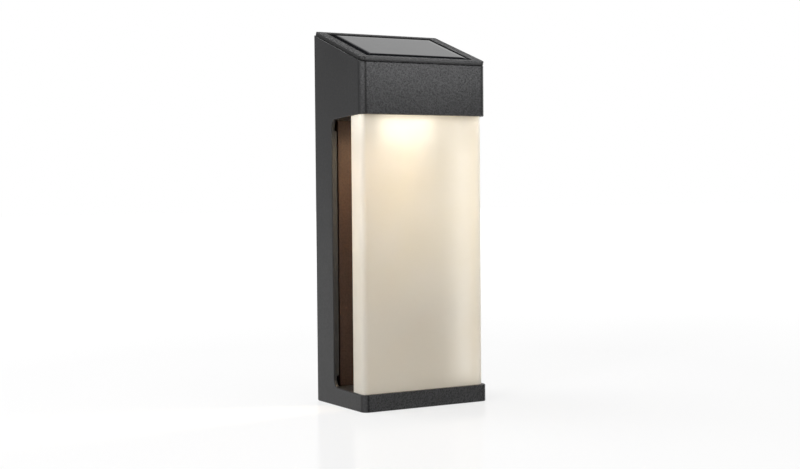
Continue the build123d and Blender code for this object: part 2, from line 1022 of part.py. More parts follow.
def window_rim(lid):
    """The four edges round the window in the lid's top face."""
    top = lid.faces().filter_by(Axis.Z).sort_by(Axis.Z)[-1]
    return top.inner_wires()[0].edges()


def lead_place():
    """How far up the slope the solar leads come through the lid, from its middle."""
    lead_depth = (control_front + socket_face) / 2 + lead_lean
    return (body_depth / 2 - lead_depth) / cos(roof_angle)


def lid_gasket():
    front = lid_front_inset + gasket_setback - slope_half
    rear = slope_half - lid_rear_inset - gasket_setback
    ring = block(around(0, half_width - lid_side_inset - gasket_setback), (front, rear), (0, lid_gap))
    ring = fillet(ring.edges().filter_by(Axis.Z).group_by(Axis.Y)[0], lid_front_corner - gasket_setback)
    ring -= block(
        around(0, plug_half + slip_gap), around(window_shift, plug_reach + slip_gap), (-over, lid_gap + over)
    )
    return roof * ring


def laminate(shrink, low, high):
    """Sheet of the solar panel's outline, in the lid's window."""
    edge = sheet_gap + shrink
    return block(
        around(0, window_length / 2 - edge), around(window_shift, window_width / 2 - edge), (low, high)
    )


def crowned_section(half):
    """Section of the resin: flat on top, curving down to a low upright edge at each end."""
    flat = half - sheet_border
    outline = [
        Line((half, sheet_brim), (half, cells_top)),
        Line((half, cells_top), (-half, cells_top)),
        Line((-half, cells_top), (-half, sheet_brim)),
        TangentArc((-flat, sheet_top), (-half, sheet_brim), tangent=(-1, 0)),
        Line((-flat, sheet_top), (flat, sheet_top)),
        TangentArc((flat, sheet_top), (half, sheet_brim), tangent=(1, 0)),
    ]
    return make_face(outline)


def solar_cover_sheet():
    """Clear resin cast over the cells, level with the lid and curving down to its edge."""
    across = window_length / 2 - sheet_gap
    along = window_width / 2 - sheet_gap
    sheet = extrude(Plane.XZ * crowned_section(across), along, both=True)
    sheet &= extrude(Plane.YZ * crowned_section(along), across, both=True)
    return roof * Pos(0, window_shift, 0) * sheet


def solar_cells():
    room = window_length - 2 * (sheet_gap + cell_strip_margin) + cell_strip_gap
    pitch = room / cell_strip_count
    reach = window_width / 2 - sheet_gap - cell_strip_margin
    first = -pitch * (cell_strip_count - 1) / 2
    return [
        roof
        * block(
            around(first + place * pitch, (pitch - cell_strip_gap) / 2),
            around(window_shift, reach),
            (backing_top, cells_top),
        )
        for place in range(cell_strip_count)
    ]


def solar_backing_board():
    return roof * laminate(0, tape_top, backing_top)


def solar_bond_tape():
    inside = laminate(tape_width, pocket_floor_top - over, tape_top + over)
    return roof * (laminate(0, pocket_floor_top, tape_top) - inside)


def lead(points):
    """Insulated wire along a route of straight runs joined by tangent arcs."""
    places = [Vector(point) for point in points]
    radii = []
    for before, corner, after in zip(places, places[1:], places[2:]):
        run_in = corner - before
        run_out = after - corner
        turn = radians(run_in.get_angle(run_out))
        radii.append(bend_share * min(run_in.length, run_out.length) / tan(turn / 2))
    route = FilletPolyline(*places, radius=radii)
    section = Plane(origin=route @ 0, z_dir=route % 0) * Circle(lead_radius)
    return sweep(section, path=route)


def pair_places(middle):
    return around(middle, lead_pitch / 2)


def battery_leads():
    leads = []
    tab_end = pocket_front + contact_tab_reach
    bend_depth = control_front + 2 * lead_pitch
    board_place = control_length / 2 - lead_landing
    for side in (-1, 1):
        tab = side * tab_place
        leads.append(
            lead(
                [
                    (tab, -tab_end, cell_height),
                    (tab, -bend_depth, cell_height),
                    (side * board_place, -bend_depth, cell_height),
                    (side * board_place, -control_front, cell_height),
                ]
            )
        )
    return leads


def led_leads():
    middle, height = socket_places()[0]
    return [
        lead([(x, -led_depth, led_board_top), (x, -led_depth, height), (x, -socket_face, height)])
        for x in pair_places(middle)
    ]


def switch_leads():
    middle, height = socket_places()[1]
    socket_middle = (control_front + socket_face) / 2
    rise = (switch_board_front + panel_seat - panel_flange) / 2
    start_height = switch_height + switch_body_half + lead_pitch
    pass_height = (head_floor_top + cell_height - control_height / 2) / 2
    return [
        lead(
            [
                (start, -switch_board_front, start_height),
                (start, -rise, start_height),
                (end, -rise, pass_height),
                (end, -socket_middle, pass_height),
                (end, -socket_middle, height - socket_height / 2),
            ]
        )
        for start, end in zip(pair_places(switch_offset), pair_places(middle))
    ]


def solar_leads():
    middle, height = socket_places()[2]
    socket_middle = (control_front + socket_face) / 2
    leads = []
    for x in pair_places(middle):
        start = roof.from_local_coords((x, lead_place(), tape_top))
        lean = -start.Y - socket_middle
        corner = start.Z - lean / tan(roof_angle)
        leads.append(
            lead([start, (x, -socket_middle, corner), (x, -socket_middle, height + socket_height / 2)])
        )
    return leads


pieces = [
    main_housing,
    inner_panel,
    diffuser,
    base_plate,
    base_plate_screws,
    rear_cover,
    rear_cover_seal,
    rear_cover_screws,
    battery_cell,
    battery_plus_contact,
    battery_spring_contact,
    battery_door,
    battery_door_seal,
    battery_door_screws,
    led_window,
    led_gasket,
    led_board,
    led_chips,
    led_board_screws,
    control_board,
    control_board_screws,
    control_chip,
    control_capacitor,
    control_choke,
    lead_sockets,
    power_button,
    switch_plunger,
    power_switch,
    switch_board,
    switch_board_screws,
    solar_lid,
    lid_gasket,
    solar_cover_sheet,
    solar_cells,
    solar_backing_board,
    solar_bond_tape,
    battery_leads,
    led_leads,
    switch_leads,
    solar_leads,
]

os.makedirs("parts", exist_ok=True)
for piece in pieces:
    made = piece()
    solids = made if isinstance(made, list) else [made]
    placed = [Pos(0, 0, -origin_height) * solid for solid in solids]
    export_step(Compound(children=placed), f"parts/{piece.__name__}.step")
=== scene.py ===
import math

import bpy
from mathutils import Matrix, Vector


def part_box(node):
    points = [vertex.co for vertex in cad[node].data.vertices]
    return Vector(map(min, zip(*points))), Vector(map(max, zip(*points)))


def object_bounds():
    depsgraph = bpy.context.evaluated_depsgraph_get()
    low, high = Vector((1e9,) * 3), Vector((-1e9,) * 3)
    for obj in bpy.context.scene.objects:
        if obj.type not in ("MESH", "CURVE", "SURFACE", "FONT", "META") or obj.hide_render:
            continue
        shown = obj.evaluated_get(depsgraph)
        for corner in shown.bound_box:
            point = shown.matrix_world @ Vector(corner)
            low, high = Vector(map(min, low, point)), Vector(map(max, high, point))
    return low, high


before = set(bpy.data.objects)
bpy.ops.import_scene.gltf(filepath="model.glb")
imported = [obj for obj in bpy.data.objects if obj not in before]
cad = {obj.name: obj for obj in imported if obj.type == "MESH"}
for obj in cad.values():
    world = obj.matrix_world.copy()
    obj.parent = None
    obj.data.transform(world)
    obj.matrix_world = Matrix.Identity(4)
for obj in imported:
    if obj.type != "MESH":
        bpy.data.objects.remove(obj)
cad_low, cad_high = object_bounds()

# Main housing: one injection moulding in anthracite ABS, C-shaped from the side, open at the back.
# Its tool is spark eroded, so the front has a fine grain. The flanks and the back are smoother.
# Handling has worn the edges lighter, and the crest of each rounded corner is lighter as a painted
# highlight.
# The seams and the lines beside the rounded corners are darkened as painted shade.


def from_picker(red, green, blue):
    """Linear colour of the 0 to 255 numbers that a colour picker shows."""
    parts = [part / 255 for part in (red, green, blue)]
    linear = [p / 12.92 if p <= 0.04045 else ((p + 0.055) / 1.055) ** 2.4 for p in parts]
    return (*linear, 1.0)


def fill(tree, node, values):
    """Sets a node's inputs, by name or number, to plain values or to other nodes' outputs."""
    for name, value in values.items():
        if isinstance(value, bpy.types.NodeSocket):
            tree.links.new(value, node.inputs[name])
        else:
            node.inputs[name].default_value = value


def add(tree, kind, values=None, **settings):
    """A new node with its settings and inputs."""
    made = tree.nodes.new(kind)
    for name, value in settings.items():
        setattr(made, name, value)
    fill(tree, made, values or {})
    return made


def sums(tree, operation, first, second=0.0, third=0.0):
    """Output of a Math node."""
    made = add(tree, "ShaderNodeMath", {0: first, 1: second, 2: third}, operation=operation)
    return made.outputs[0]


def between(tree, value, low, high, to_low, to_high):
    """Output of a Map Range node, held within its limits."""
    limits = {"Value": value, "From Min": low, "From Max": high}
    limits.update({"To Min": to_low, "To Max": to_high})
    return add(tree, "ShaderNodeMapRange", limits).outputs["Result"]


def band(tree, value, rise, fall, level):
    """0 outside a band of values and level inside it. rise and fall are pairs of values."""
    rising = between(tree, value, *rise, 0.0, 1.0)
    return sums(tree, "MULTIPLY", rising, between(tree, value, *fall, level, 0.0))


def blend_colours(tree, share, first, second):
    """Output of a colour Mix node, whose sockets share their names with those for numbers."""
    factor_socket, first_socket, second_socket, colour_output = 0, 6, 7, 2
    values = {factor_socket: share, first_socket: first, second_socket: second}
    return add(tree, "ShaderNodeMix", values, data_type="RGBA").outputs[colour_output]


def place_of(tree):
    """Place on the piece, in metres of the shared frame."""
    return tree.nodes.new("ShaderNodeTexCoord").outputs["Object"]


def place_along(tree, axis):
    """One coordinate of that place, by the name of its axis."""
    return add(tree, "ShaderNodeSeparateXYZ", {"Vector": place_of(tree)}).outputs[axis]


def noise(tree, scale, detail=2.0, roughness=0.5):
    """Soft noise of about 0.3 to 0.7. scale counts its waves per metre."""
    values = {"Vector": place_of(tree), "Scale": scale, "Detail": detail, "Roughness": roughness}
    return add(tree, "ShaderNodeTexNoise", values).outputs["Fac"]


def patches(tree, scale, to_low, to_high, detail=2.0, usual=(0.3, 0.7)):
    """Noise whose usual range is spread out to run from to_low to to_high."""
    return between(tree, noise(tree, scale, detail), *usual, to_low, to_high)


def finish_named(name, **constants):
    """A new material, its node tree and its Principled shader with constant values set."""
    material = bpy.data.materials.new(name)
    material.use_nodes = True
    tree = material.node_tree
    shader = tree.nodes["Principled BSDF"]
    fill(tree, shader, {key.replace("_", " "): value for key, value in constants.items()})
    return material, tree, shader


def bump(tree, height, strength, distance):
    """Normal that a height of 0 to 1 gives, at its depth in metres."""
    values = {"Height": height, "Strength": strength, "Distance": distance}
    return add(tree, "ShaderNodeBump", values).outputs["Normal"]


def edge_share(tree, radius):
    """1 on outer and inner edges, 0 on open faces."""
    flat_cosine = 0.995
    edge_cosine = 0.9
    rounded = add(tree, "ShaderNodeBevel", {"Radius": radius}, samples=4)
    flat = tree.nodes.new("ShaderNodeNewGeometry")
    normals = {0: rounded.outputs["Normal"], 1: flat.outputs["Normal"]}
    along = add(tree, "ShaderNodeVectorMath", normals, operation="DOT_PRODUCT")
    return between(tree, along.outputs["Value"], flat_cosine, edge_cosine, 0.0, 1.0)


def sideways(tree):
    """1 on faces that look left or right, 0 on those that look forward, back, up or down."""
    normal = tree.nodes.new("ShaderNodeNewGeometry").outputs["Normal"]
    across = add(tree, "ShaderNodeSeparateXYZ", {"Vector": normal}).outputs["X"]
    return sums(tree, "ABSOLUTE", across)


def grained_share(tree, grained_to):
    """1 where the tool was eroded, and nearly 0 on flanks and further back than grained_to."""
    smooth = 0.05
    fade = 0.005
    turned_from = 0.75
    turned_to = 0.98
    facing = between(tree, sideways(tree), turned_from, turned_to, 1.0, smooth)
    in_front = between(tree, place_along(tree, "Y"), grained_to, grained_to + fade, 1.0, smooth)
    return sums(tree, "MULTIPLY", facing, in_front)


def pebbled(tree, grain):
    """Height of the eroded grain: rounded pits of one width, roughened by noise."""
    pits = {"Vector": place_of(tree), "Scale": 0.8 / grain, "Smoothness": 0.5}
    cells = add(tree, "ShaderNodeTexVoronoi", pits, feature="SMOOTH_F1").outputs["Distance"]
    return sums(tree, "MULTIPLY_ADD", noise(tree, 1.0 / grain, 3.0, 0.6), 1.2, cells)


def moulded_plastic(name, colour, lighter_tone, grain, depth, gloss, grained_to=1.0):
    """Grained plastic. grain is the width of one grain and depth its depth, in metres."""
    material, tree, shader = finish_named(name, Specular_IOR_Level=0.3)
    edge_width = 0.0006
    seam_reach = 0.0015
    most_polish = 0.14
    smoothest = 0.14
    corner_highlight = 0.8
    corner_gloss = -0.2
    shade_colour = from_picker(8, 8, 8)
    grained = grained_share(tree, grained_to)
    pebbles = pebbled(tree, grain)

    rubbing = patches(tree, 160.0, 0.1, 0.8, detail=3.0, usual=(0.4, 0.62))
    worn = sums(tree, "MULTIPLY", edge_share(tree, edge_width), rubbing)
    # Painted highlight: the crest of each rounded corner is mixed towards the lighter tone.
    corner = band(tree, sideways(tree), rise=(0.35, 0.6), fall=(0.75, 0.95), level=1.0)
    mottle = patches(tree, 45.0, 0.0, 0.1, detail=4.0)
    crests = sums(tree, "MULTIPLY", between(tree, pebbles, 0.75, 1.25, 0.0, 0.75), grained)
    toned = blend_colours(tree, sums(tree, "ADD", mottle, crests), colour, lighter_tone)
    wear_and_highlight = sums(tree, "MULTIPLY_ADD", corner, corner_highlight, worn)
    worn_and_highlit = blend_colours(tree, wear_and_highlight, toned, lighter_tone)

    # Painted shade: seams found by occlusion, and lines beside each rounded corner, darken towards
    # near black.
    seam = add(tree, "ShaderNodeAmbientOcclusion", {"Distance": seam_reach}, samples=4)
    seam_shade = between(tree, seam.outputs["AO"], 0.3, 0.7, 0.8, 0.0)
    beside_corner_shade = band(tree, sideways(tree), rise=(0.06, 0.14), fall=(0.3, 0.42), level=0.9)
    painted_shade = sums(tree, "ADD", seam_shade, beside_corner_shade)
    fill(tree, shader, {"Base Color": blend_colours(tree, painted_shade, worn_and_highlit, shade_colour)})

    even = between(tree, pebbles, 0.7, 1.3, gloss + 0.08, gloss - 0.06)
    rubbed_rough = sums(tree, "SUBTRACT", even, worn)
    kept_rough = sums(tree, "MAXIMUM", rubbed_rough, gloss - most_polish)
    rough = sums(tree, "MULTIPLY_ADD", corner, corner_gloss, kept_rough)
    fill(tree, shader, {"Roughness": sums(tree, "MAXIMUM", rough, smoothest)})
    relief = sums(tree, "MULTIPLY", pebbles, grained)
    fill(tree, shader, {"Normal": bump(tree, relief, strength=0.7, distance=depth)})
    return material


def dress(node, material):
    """Gives a CAD node its finish in every slot."""
    for slot in cad[node].material_slots:
        slot.material = material


anthracite = from_picker(43, 43, 44)
anthracite_wear_and_highlight = from_picker(74, 74, 75)
housing_finish = moulded_plastic(
    "housing_plastic",
    anthracite,
    anthracite_wear_and_highlight,
    grain=0.0009,
    depth=0.0009,
    gloss=0.36,
    grained_to=-0.05,
)
dress("main_housing", housing_finish)

# Light source: six warm white chips on a white board, over a clear window in the head's floor.
# Two screws draw the board down on its rubber gasket.
# The window is moulded in clear acrylic, and the chips are capped with yellow phosphor.


def rubber(name, colour):
    """Matt moulded rubber with a dusting of lighter bloom."""
    material, tree, shader = finish_named(name, Specular_IOR_Level=0.15)
    bloom_colour = from_picker(70, 70, 70)
    bloom = patches(tree, 220.0, 0.0, 0.12, detail=4.0, usual=(0.45, 0.75))
    fill(tree, shader, {"Base Color": blend_colours(tree, bloom, colour, bloom_colour)})
    fill(tree, shader, {"Roughness": patches(tree, 900.0, 0.65, 0.85)})
    ripple = bump(tree, noise(tree, 2500.0), strength=0.3, distance=0.00005)
    fill(tree, shader, {"Normal": ripple})
    return material


def circuit_board(name, mask, copper_under, track):
    """Glass-fibre board under solder mask, with the tracks faintly showing through."""
    material, tree, shader = finish_named(name, Specular_IOR_Level=0.5)
    cells = {"Vector": place_of(tree), "Scale": 1.0 / track, "Randomness": 0.85}
    edges = add(tree, "ShaderNodeTexVoronoi", cells, feature="DISTANCE_TO_EDGE")
    tracks = between(tree, edges.outputs["Distance"], 0.05, 0.09, 1.0, 0.0)
    weave = patches(tree, 1800.0, 0.0, 0.25)
    base = blend_colours(tree, weave, mask, copper_under)
    fill(tree, shader, {"Base Color": blend_colours(tree, tracks, base, copper_under)})
    fill(tree, shader, {"Roughness": patches(tree, 700.0, 0.28, 0.42)})
    fill(tree, shader, {"Normal": bump(tree, tracks, strength=0.4, distance=0.00004)})
    return material


def bright_metal(name, colour, rough, wire):
    """Plated metal with fine drawing marks across it. wire is the width of a mark in metres."""
    material, tree, shader = finish_named(name, Metallic=1.0)
    stretch = {"Vector": place_of(tree), "Scale": (1.0, 1.0, 0.08)}
    drawn = add(tree, "ShaderNodeMapping", stretch).outputs["Vector"]
    marks = {"Vector": drawn, "Scale": 1.0 / wire, "Detail": 3.0}
    lines = add(tree, "ShaderNodeTexNoise", marks).outputs["Fac"]
    dull = tuple(0.7 * part for part in colour[:3]) + (1.0,)
    dulled = between(tree, lines, 0.3, 0.7, 0.0, 0.7)
    fill(tree, shader, {"Base Color": blend_colours(tree, dulled, colour, dull)})
    fill(tree, shader, {"Roughness": between(tree, lines, 0.3, 0.7, rough - 0.08, rough + 0.1)})
    fill(tree, shader, {"Normal": bump(tree, lines, strength=0.15, distance=0.00003)})
    return material


clear, clear_tree, clear_shader = finish_named(
    "clear_plastic", Transmission_Weight=1.0, IOR=1.49, Base_Color=from_picker(250, 250, 248)
)
fill(clear_tree, clear_shader, {"Roughness": patches(clear_tree, 300.0, 0.03, 0.1)})
dress("led_window", clear)
seal_finish = rubber("seal_rubber", from_picker(6, 6, 6))
dress("led_gasket", seal_finish)
board_white = from_picker(214, 214, 208)
board_white_raised = from_picker(230, 229, 222)
dress("led_board", circuit_board("white_board", board_white, board_white_raised, track=0.005))
phosphor, phosphor_tree, phosphor_shader = finish_named(
    "led_phosphor", Emission_Color=(1.0, 0.8, 0.55, 1.0), Emission_Strength=6.0, Roughness=0.5
)
grit = patches(phosphor_tree, 4000.0, 0.0, 1.0)
phosphor_yellow = from_picker(236, 200, 90)
phosphor_pale = from_picker(246, 222, 130)
phosphor_tone = blend_colours(phosphor_tree, grit, phosphor_yellow, phosphor_pale)
fill(phosphor_tree, phosphor_shader, {"Base Color": phosphor_tone})
dress("led_chips", phosphor)
screw_finish = bright_metal("screw_steel", from_picker(176, 176, 172), rough=0.32, wire=0.0006)
dress("led_board_screws", screw_finish)

# Control board: a green glass-fibre board on four screws, upright in the head behind the chips.
# It carries a chip and a choke in black epoxy, a capacitor in an aluminium can,
# and three cream sockets for the leads.
green_board = circuit_board(
    "circuit_board", from_picker(18, 62, 40), from_picker(44, 104, 66), track=0.004
)
dress("control_board", green_board)


def moulded_part(name, colour, second, rough):
    """Smooth small moulding with faint flow marks."""
    material, tree, shader = finish_named(name, Specular_IOR_Level=0.45)
    flow = patches(tree, 300.0, 0.0, 1.0, detail=4.0, usual=(0.35, 0.7))
    fill(tree, shader, {"Base Color": blend_colours(tree, flow, colour, second)})
    fill(tree, shader, {"Roughness": between(tree, flow, 0.0, 1.0, rough - 0.06, rough + 0.06)})
    ripple = bump(tree, noise(tree, 3000.0), strength=0.2, distance=0.00004)
    fill(tree, shader, {"Normal": ripple})
    return material


black_epoxy = moulded_part(
    "chip_black", from_picker(24, 24, 25), from_picker(34, 34, 35), rough=0.5
)
dress("control_chip", black_epoxy)
dress("control_choke", black_epoxy)
can_finish = bright_metal("capacitor_can", from_picker(186, 188, 192), rough=0.3, wire=0.0008)
dress("control_capacitor", can_finish)
socket_finish = moulded_part(
    "socket_cream", from_picker(226, 220, 200), from_picker(236, 231, 214), rough=0.4
)
dress("lead_sockets", socket_finish)
dress("control_board_screws", screw_finish)

# Inner panel: a dark brown moulding that closes the column's front, behind the light chamber.
# It goes in from the back and is bonded to two strips of the housing.
# The rear cover's six screws bite in its bosses.
panel_brown = from_picker(41, 22, 12)
panel_brown_wear_and_highlight = from_picker(58, 37, 25)
panel_finish = moulded_plastic(
    "panel_plastic", panel_brown, panel_brown_wear_and_highlight, grain=0.0009, depth=0.0001, gloss=0.5
)
dress("inner_panel", panel_finish)

# Power switch: a rubber button in the rear cover presses a white plunger into a black switch.
# The switch is soldered on a small green board, which two screws hold inside the column.
dress("power_button", rubber("button_rubber", from_picker(34, 34, 36)))
plunger_finish = moulded_part(
    "plunger_plastic", from_picker(222, 222, 216), from_picker(232, 232, 228), rough=0.35
)
dress("switch_plunger", plunger_finish)
dress("power_switch", black_epoxy)
dress("switch_board", green_board)
dress("switch_board_screws", screw_finish)

# Leads: four pairs of thin stranded wires in soft red insulation, all to the control board.
# The battery's pair is soldered at both ends.
# The others are soldered at their far end and plugged into the board's sockets.
lead_finish = moulded_part(
    "lead_insulation", from_picker(150, 26, 24), from_picker(172, 36, 32), rough=0.38
)
for leads in ("battery_leads", "led_leads", "switch_leads", "solar_leads"):
    dress(leads, lead_finish)

# Rear cover, battery door and base plate: ABS mouldings that close the back and the base.
# They are grained more finely than the housing. The cover and the door press on rubber seals,
# and steel screws hold all three.
cover_grey = from_picker(46, 46, 47)
cover_grey_wear_and_highlight = from_picker(68, 68, 69)
cover_finish = moulded_plastic(
    "cover_plastic", cover_grey, cover_grey_wear_and_highlight, grain=0.0008, depth=0.0005, gloss=0.5
)
for cover in ("rear_cover", "battery_door", "base_plate"):
    dress(cover, cover_finish)
    dress(cover + "_screws", screw_finish)
for cover in ("rear_cover", "battery_door"):
    dress(cover + "_seal", seal_finish)

# Battery: one lithium cell in a heat-shrunk blue wrap that leaves its steel ends bare.
# It sits in the rear cover's pocket between a nickel plate and a nickel leaf spring.
wrap, wrap_tree, wrap_shader = finish_named(
    "battery_wrap", Specular_IOR_Level=0.5, Coat_Weight=0.3
)
wrap_blue = from_picker(30, 84, 130)
wrap_blue_pale = from_picker(40, 100, 150)
can_steel = from_picker(190, 188, 182)
bare_length = 0.0022
wrap_edge = 0.0002
film = patches(wrap_tree, 90.0, 0.0, 1.0, detail=3.0, usual=(0.35, 0.7))
wrap_tone = blend_colours(wrap_tree, film, wrap_blue, wrap_blue_pale)
can_low, can_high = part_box("battery_cell")
can_middle = (can_low.x + can_high.x) / 2
from_middle = sums(wrap_tree, "SUBTRACT", place_along(wrap_tree, "X"), can_middle)
off_can_middle = sums(wrap_tree, "ABSOLUTE", from_middle)
bare_from = can_high.x - can_middle - bare_length
bare = between(wrap_tree, off_can_middle, bare_from, bare_from + wrap_edge, 0.0, 1.0)
can_tone = blend_colours(wrap_tree, bare, wrap_tone, can_steel)
fill(wrap_tree, wrap_shader, {"Base Color": can_tone, "Metallic": bare})
fill(wrap_tree, wrap_shader, {"Roughness": between(wrap_tree, film, 0.0, 1.0, 0.25, 0.4)})
wrap_creases = bump(wrap_tree, noise(wrap_tree, 500.0), strength=0.2, distance=0.0001)
fill(wrap_tree, wrap_shader, {"Normal": wrap_creases})
dress("battery_cell", wrap)
nickel = bright_metal("contact_metal", from_picker(196, 190, 176), rough=0.28, wire=0.0005)
for contact in ("battery_plus_contact", "battery_spring_contact"):
    dress(contact, nickel)

# Solar panel: nine strips of dark silicon on a glass-fibre board, under clear cast resin.
# The resin's edge rounds down all the way round, and the strips show faintly through it.
# Foam tape bonds the panel into the lid.
silicon, silicon_tree, silicon_shader = finish_named("solar_silicon", Roughness=0.3)
silicon_dark = from_picker(18, 21, 30)
silicon_pale = from_picker(30, 34, 46)
silver = from_picker(120, 122, 128)
finger_spacing = 0.001
finger_core = 0.00008
finger_reach = 0.00012
crystal = patches(silicon_tree, 120.0, 0.0, 1.0, detail=5.0)
silicon_tone = blend_colours(silicon_tree, crystal, silicon_dark, silicon_pale)
to_finger = sums(silicon_tree, "PINGPONG", place_along(silicon_tree, "Y"), finger_spacing)
finger = between(silicon_tree, to_finger, finger_core, finger_reach, 1.0, 0.0)
silicon_printed = blend_colours(silicon_tree, finger, silicon_tone, silver)
fill(silicon_tree, silicon_shader, {"Base Color": silicon_printed})
dress("solar_cells", silicon)
panel_board = circuit_board(
    "panel_board", from_picker(40, 42, 40), from_picker(62, 64, 58), track=0.006
)
dress("solar_backing_board", panel_board)
dress("solar_bond_tape", rubber("bond_tape", from_picker(26, 26, 27)))

resin, resin_tree, resin_shader = finish_named("solar_sheet", IOR=1.5, Specular_IOR_Level=0.5)
resin_dark = from_picker(10, 11, 15)
resin_pale = from_picker(16, 17, 22)
board_grey = from_picker(30, 31, 33)
strip_count = 9
strip_gap = 0.0006
cells_low, cells_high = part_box("solar_cells")
strip_pitch = (cells_high.x - cells_low.x + strip_gap) / strip_count
across_panel = place_along(resin_tree, "X")
up_panel = place_along(resin_tree, "Y")
cloud = patches(resin_tree, 70.0, 0.0, 1.0, detail=4.0, usual=(0.35, 0.7))
resin_tone = blend_colours(resin_tree, cloud, resin_dark, resin_pale)
from_strip = sums(resin_tree, "ADD", across_panel, strip_pitch / 2)
to_gap = sums(resin_tree, "PINGPONG", from_strip, strip_pitch / 2)
gap_line = between(resin_tree, to_gap, 0.4 * strip_gap, 0.7 * strip_gap, 1.0, 0.0)
off_panel_middle = sums(resin_tree, "ABSOLUTE", across_panel)
past_strips = sums(resin_tree, "GREATER_THAN", off_panel_middle, cells_high.x)
past_back = sums(resin_tree, "GREATER_THAN", up_panel, cells_high.y)
past_front = sums(resin_tree, "LESS_THAN", up_panel, cells_low.y)
past_ends = sums(resin_tree, "MAXIMUM", past_back, past_front)
past_cells = sums(resin_tree, "MAXIMUM", past_strips, past_ends)
board_shows = sums(resin_tree, "MAXIMUM", past_cells, gap_line)
seen_through = blend_colours(resin_tree, board_shows, resin_tone, board_grey)
fill(resin_tree, resin_shader, {"Base Color": seen_through})
fill(resin_tree, resin_shader, {"Roughness": between(resin_tree, cloud, 0.0, 1.0, 0.06, 0.1)})
dress("solar_cover_sheet", resin)

# Solar lid: a flat frame in the same ABS as the housing, with a shallower grain.
# It snaps into the roof on four hooks, over a soft gasket that shows as a dark line.
# Its rim is darkened low down, towards the gasket, as painted shade.
lid_grey = from_picker(48, 48, 49)
lid_shade_dark = from_picker(4, 4, 4)
lid_finish = moulded_plastic(
    "lid_plastic", lid_grey, anthracite_wear_and_highlight, grain=0.0009, depth=0.0002, gloss=0.36
)
lid_tree = lid_finish.node_tree
lid_shader = lid_tree.nodes["Principled BSDF"]
lid_tone = lid_shader.inputs["Base Color"].links[0].from_socket
roof_slope = math.radians(19.2)
roof_up = Vector((0.0, -math.sin(roof_slope), math.cos(roof_slope)))
rim_height = 0.0023
rim_top = max(roof_up.dot(corner.co) for corner in cad["solar_lid"].data.vertices)
shade_low = rim_top - 0.8 * rim_height
shade_high = rim_top - 0.05 * rim_height
along_roof_up = {0: place_of(lid_tree), 1: roof_up}
up_rim = add(lid_tree, "ShaderNodeVectorMath", along_roof_up, operation="DOT_PRODUCT")
# Painted shade: the rim darkens towards its lowest edge, by the gasket.
rim_shade = between(lid_tree, up_rim.outputs["Value"], shade_low, shade_high, 0.95, 0.0)
fill(lid_tree, lid_shader, {"Base Color": blend_colours(lid_tree, rim_shade, lid_tone, lid_shade_dark)})
dress("solar_lid", lid_finish)
dress("lid_gasket", seal_finish)

# Diffuser: a U-shaped shell of frosted polycarbonate, pushed up through the base into the head.
# Its emission paints the light that it scatters from inside, as a painted glow that is brightest
# below the chips and at its flanks' top, with painted shade that makes it a little weaker in the
# front's upper corners.
frosted, frosted_tree, frosted_shader = finish_named(
    "diffuser_frosted", Transmission_Weight=0.6, IOR=1.25, Specular_IOR_Level=0.4
)
milk_dark = from_picker(242, 237, 228)
milk_pale = from_picker(247, 243, 236)
frost = noise(frosted_tree, 1500.0, 3.0)
milk = patches(frosted_tree, 30.0, 0.0, 1.0)
milk_tone = blend_colours(frosted_tree, milk, milk_dark, milk_pale)
fill(frosted_tree, frosted_shader, {"Base Color": milk_tone})
frost_rough = between(frosted_tree, frost, 0.3, 0.7, 0.62, 0.74)
fill(frosted_tree, frosted_shader, {"Roughness": frost_rough})
frost_relief = bump(frosted_tree, frost, strength=0.2, distance=0.00004)
fill(frosted_tree, frosted_shader, {"Normal": frost_relief})

even_glow = 0.073
front_glow = 0.11
flank_top_glow = 0.14
corner_painted_shade = 0.05
warm_glow = (1.0, 0.86, 0.6, 1.0)
flank_glow = (0.98, 0.96, 0.86, 1.0)
chips_reach = 0.02
corner_reach = 0.03
pane_reach = 0.042
side_share = 0.55
front_fade = (0.06, 0.125)
flank_fade = (0.004, 0.018)
corner_fade = (0.008, 0.028)
diffuser_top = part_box("diffuser")[1].z
# Painted light: an emission glow stands for the chips' light scattered in the shell.
below_top = sums(frosted_tree, "SUBTRACT", diffuser_top, place_along(frosted_tree, "Z"))
off_middle = sums(frosted_tree, "ABSOLUTE", place_along(frosted_tree, "X"))
under_chips = between(frosted_tree, off_middle, chips_reach, pane_reach, 1.0, side_share)
fading = between(frosted_tree, below_top, *front_fade, front_glow, 0.0)
upper = sums(frosted_tree, "MULTIPLY", under_chips, fading)
flank = between(frosted_tree, sideways(frosted_tree), 0.15, 0.7, 0.0, 1.0)
flank_fading = between(frosted_tree, below_top, *flank_fade, flank_top_glow, 0.0)
flank_top = sums(frosted_tree, "MULTIPLY", flank, flank_fading)
front_pane = between(frosted_tree, sideways(frosted_tree), 0.05, 0.35, 1.0, 0.0)
past_chips = between(frosted_tree, off_middle, chips_reach, corner_reach, 0.0, 1.0)
pane_sides = sums(frosted_tree, "MULTIPLY", front_pane, past_chips)
# Painted shade: the glow is weaker in the front pane's upper corners.
corner_shade_fading = between(frosted_tree, below_top, *corner_fade, corner_painted_shade, 0.0)
upper_corner_shade = sums(frosted_tree, "MULTIPLY", pane_sides, corner_shade_fading)
gained = sums(frosted_tree, "ADD", sums(frosted_tree, "ADD", upper, flank_top), even_glow)
glow = sums(frosted_tree, "SUBTRACT", gained, upper_corner_shade)
glow_colour = blend_colours(frosted_tree, flank, warm_glow, flank_glow)
fill(frosted_tree, frosted_shader, {"Emission Color": glow_colour, "Emission Strength": glow})
dress("diffuser", frosted)

# Light of the chips: a wide warm beam falls from their window down into the chamber.
# In front of it hangs a paler haze of light, which fades downwards in three steps.
window_low, window_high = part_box("led_window")
window_middle = (window_low + window_high) / 2
beam_colour = (1.0, 0.76, 0.47)
haze_colour = (1.0, 0.97, 0.87)
strip_length = 0.04
beam_breadth = 0.007
beam_drop = 0.004


